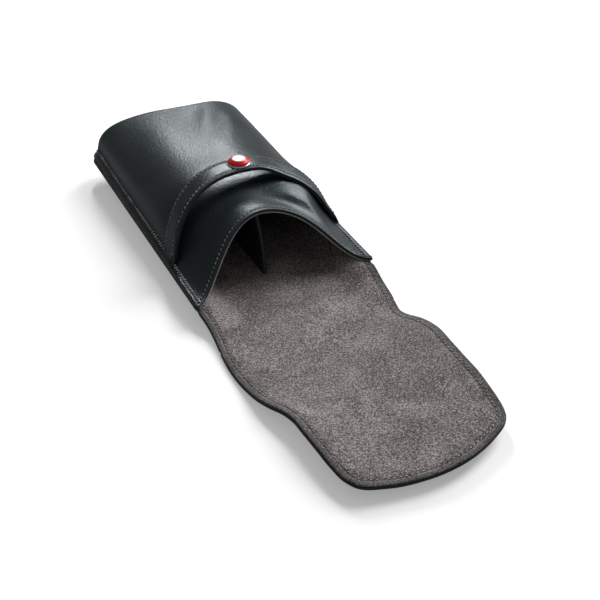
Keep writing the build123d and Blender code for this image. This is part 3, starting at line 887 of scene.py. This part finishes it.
def stitch_tree(thread):
    """Geometry nodes that lay bowed stitches along the edges of a mesh, upright to its "up" attribute."""
    tree = bpy.data.node_groups.new("saddle_stitches", "GeometryNodeTree")
    inputs = {}
    tree.interface.new_socket("Seams", in_out="INPUT", socket_type="NodeSocketGeometry")
    for name in ("Pitch", "Length", "Thickness", "Askew"):
        socket = tree.interface.new_socket(name, in_out="INPUT", socket_type="NodeSocketFloat")
        inputs[name] = socket.identifier
    tree.interface.new_socket("Stitches", in_out="OUTPUT", socket_type="NodeSocketGeometry")

    def node(kind, settings=None, sockets=None):
        made = tree.nodes.new(kind)
        for name, value in (settings or {}).items():
            setattr(made, name, value)
        for name, value in (sockets or {}).items():
            if isinstance(value, bpy.types.NodeSocket):
                tree.links.new(value, made.inputs[name])
            else:
                made.inputs[name].default_value = value
        return made

    def scaled(value, factor):
        return node("ShaderNodeMath", {"operation": "MULTIPLY"}, {0: value, 1: factor}).outputs[0]

    given = node("NodeGroupInput").outputs
    half = scaled(given["Length"], 0.5)
    back = scaled(half, -1.0)
    depth = scaled(given["Thickness"], -0.75)
    crest = scaled(given["Thickness"], 1.5)
    start = node("ShaderNodeCombineXYZ", None, {0: back, 2: depth}).outputs[0]
    top = node("ShaderNodeCombineXYZ", None, {2: crest}).outputs[0]
    stop = node("ShaderNodeCombineXYZ", None, {0: half, 2: depth}).outputs[0]
    bow = node(
        "GeometryNodeCurveQuadraticBezier", None,
        {"Resolution": 7, "Start": start, "Middle": top, "End": stop},
    )
    radius = scaled(given["Thickness"], 0.5)
    round_profile = node("GeometryNodeCurvePrimitiveCircle", None, {"Resolution": 6, "Radius": radius})
    stitch = node(
        "GeometryNodeCurveToMesh", None,
        {"Curve": bow.outputs[0], "Profile Curve": round_profile.outputs[0], "Fill Caps": True},
    )
    seams = node("GeometryNodeMeshToCurve", None, {"Mesh": given["Seams"]})
    spaced = {"Curve": seams.outputs[0], "Length": given["Pitch"]}
    holes = node("GeometryNodeResampleCurve", {"mode": "LENGTH"}, spaced)
    up = node("GeometryNodeInputNamedAttribute", {"data_type": "FLOAT_VECTOR"}, {"Name": "up"})
    tangent = node("GeometryNodeInputTangent")
    set_square = node(
        "FunctionNodeAxesToRotation", {"primary_axis": "Z", "secondary_axis": "X"},
        {"Primary Axis": up.outputs[0], "Secondary Axis": tangent.outputs[0]},
    )
    least = scaled(given["Askew"], 0.5)
    slant = node("FunctionNodeRandomValue", {"data_type": "FLOAT"}, {2: least, 3: given["Askew"], "Seed": 7})
    twist = {"Axis": (0.0, 0.0, 1.0), "Angle": slant.outputs[1]}
    about_up = node("FunctionNodeAxisAngleToRotation", None, twist)
    laid = node(
        "FunctionNodeRotateRotation", {"rotation_space": "LOCAL"},
        {"Rotation": set_square.outputs[0], "Rotate By": about_up.outputs[0]},
    )
    sewn = node(
        "GeometryNodeInstanceOnPoints", None,
        {"Points": holes.outputs[0], "Instance": stitch.outputs[0], "Rotation": laid.outputs[0]},
    )
    real = node("GeometryNodeRealizeInstances", None, {"Geometry": sewn.outputs[0]})
    dyed = node("GeometryNodeSetMaterial", None, {"Geometry": real.outputs[0], "Material": thread})
    node("NodeGroupOutput", None, {0: dyed.outputs[0]})
    return tree, inputs


fine_tree, stitch_inputs = stitch_tree(thread_material("waxed_thread", 0.28))
# The same thread, painted paler for the seams of the pouch and the flap: painted light where their stitches
# catch it.
seam_tree, _ = stitch_tree(thread_material("lit_seam_thread", 0.52))
fine_stitches = {"Pitch": 1.95 * MM, "Length": 1.65 * MM, "Thickness": 0.45 * MM, "Askew": 0.50}
seam_stitches = {"Pitch": 1.75 * MM, "Length": 1.95 * MM, "Thickness": 0.66 * MM, "Askew": 1.05}


def sewn(name, seams, stitches=fine_tree, stitch_sizes=fine_stitches):
    """The stitches along seams, each a line of points and the way up at them."""
    mesh = bpy.data.meshes.new(name + "_holes")
    points = np.concatenate([line for line, _ in seams])
    edges, first = [], 0
    for line, _ in seams:
        edges += [(k, k + 1) for k in range(first, first + len(line) - 1)]
        first += len(line)
    mesh.from_pydata((points * MM).tolist(), edges, [])
    ups = np.concatenate([way / np.linalg.norm(way, axis=1, keepdims=True) for _, way in seams])
    ups = ups.astype(np.float32).ravel()
    mesh.attributes.new("up", "FLOAT_VECTOR", "POINT").data.foreach_set("vector", ups)
    guide = bpy.data.objects.new(name + "_holes", mesh)
    bpy.context.scene.collection.objects.link(guide)
    modifier = guide.modifiers.new("stitches", "NODES")
    modifier.node_group = stitches
    for key, value in stitch_sizes.items():
        modifier[stitch_inputs[key]] = value
    ready = guide.evaluated_get(bpy.context.evaluated_depsgraph_get())
    made = bpy.data.meshes.new_from_object(ready)
    guide.modifiers.remove(modifier)
    bpy.data.objects.remove(guide)
    made.shade_smooth()
    thread = bpy.data.objects.new(name, made)
    bpy.context.scene.collection.objects.link(thread)
    return thread


def line_at(points, ways, measure, value, axis):
    """The line on a grid where a measure that grows along an axis first reaches a value, with the way up."""
    if axis == 1:
        points, ways, measure = points.transpose(1, 0, 2), ways.transpose(1, 0, 2), measure.T
    line, way = [], []
    for column in range(points.shape[1]):
        reached = np.nonzero(measure[:, column] >= value)[0]
        if not len(reached) or reached[0] == 0:
            continue
        k = reached[0]
        share = (value - measure[k - 1, column]) / (measure[k, column] - measure[k - 1, column])
        line.append(points[k - 1, column] * (1 - share) + points[k, column] * share)
        way.append(ways[k - 1, column] * (1 - share) + ways[k, column] * share)
    return np.array(line), np.array(way)


def round_the_pouch(inset, lift_of, start_y):
    """A line round the pouch's three sewn sides at an inset, with heights from a function."""
    radius = corner_radius - inset
    side, far = half_width - inset, end_y - inset
    corner = np.linspace(0, pi / 2, 12)
    left = [(-side, y) for y in np.linspace(start_y, far - radius, 60)[:-1]]
    left += [(-side + radius - radius * cos(t), far - radius + radius * sin(t)) for t in corner]
    plan = np.array(left + [(x, far) for x in np.linspace(-side + radius, side - radius, 30)[1:-1]]
                    + [(-x, y) for x, y in left[::-1]])
    return np.column_stack([plan, lift_of(plan[:, 0], plan[:, 1])])


seam_start = mouth_y + 2.2
seam_top = round_the_pouch(seam_inset, front_height, seam_start)
x, y, probe = seam_top[:, 0], seam_top[:, 1], 0.4
seam_ways = np.column_stack([
    (front_height(x - probe, y) - front_height(x + probe, y)) / (2 * probe),
    (front_height(x, y - probe) - front_height(x, y + probe)) / (2 * probe),
    np.ones(len(x)),
])
seam_ways /= np.linalg.norm(seam_ways, axis=1, keepdims=True)
seam_top -= seam_ways * groove_depth
seam_under = round_the_pouch(seam_inset, back_height, seam_start)
under_ways = np.tile([0.0, 0.0, -1.0], (len(seam_under), 1))
pouch_seams = [(seam_top, seam_ways), (seam_under, under_ways)]
middle_columns = slice(8, -8)
lip_grids = [grid[:, middle_columns] for grid in (front_face, front_up, from_lip)]
lip_seam = line_at(*lip_grids, lip_inset, 0)
strap_ways = np.repeat(outward, len(strap_steps), axis=0)
near_row = int(np.argmin(np.abs(strap_steps - strap_inset)))
far_row = len(strap_steps) - 1 - near_row
strap_seams = [(strap_outer[row, 6:-6], strap_ways[row, 6:-6]) for row in (near_row, far_row)]
seam_thread = sewn("seam_thread", pouch_seams, seam_tree, seam_stitches)
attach(seam_thread, "pouch")
trim_thread = sewn("trim_thread", [lip_seam, *strap_seams])
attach(trim_thread, "pouch")
tip_starts = mouth_y - 99.0


def flap_seams(rows):
    """Stitches on both faces of a length of the flap, in the groove along its edge."""
    seams = []
    half = len(sheet_columns) // 2
    for side, surface in ((1, face), (-1, bottom)):
        grids = (surface, up, rim)
        left = line_at(*(grid[rows, :half] for grid in grids), flap_inset, 1)
        right = line_at(*(grid[rows, :half - 1:-1] for grid in grids), flap_inset, 1)
        if rows.stop is None:
            keep = [line[0][:, 1] > tip_starts for line in (left, right)]
            left, right = [(line[0][k], line[1][k]) for line, k in zip((left, right), keep)]
            tip = line_at(*(grid[::-1] for grid in grids), flap_inset, 0)
            beyond = tip[0][:, 1] < tip_starts
            tip = tip[0][beyond], tip[1][beyond]
            whole = tuple(np.concatenate([left[k], tip[k], right[k][::-1]]) for k in (0, 1))
            seams.append((whole[0], whole[1] * side))
        else:
            seams += [(left[0], left[1] * side), (right[0], right[1] * side)]
    return seams


for stretch in ("neck", "tongue"):
    thread = sewn(f"{stretch}_thread", flap_seams(stretches[stretch][0]), seam_tree)
    moved(thread, stretch)

size = {"cad": [list(c) for c in cad_box], "visual": [list(c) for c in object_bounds()]}
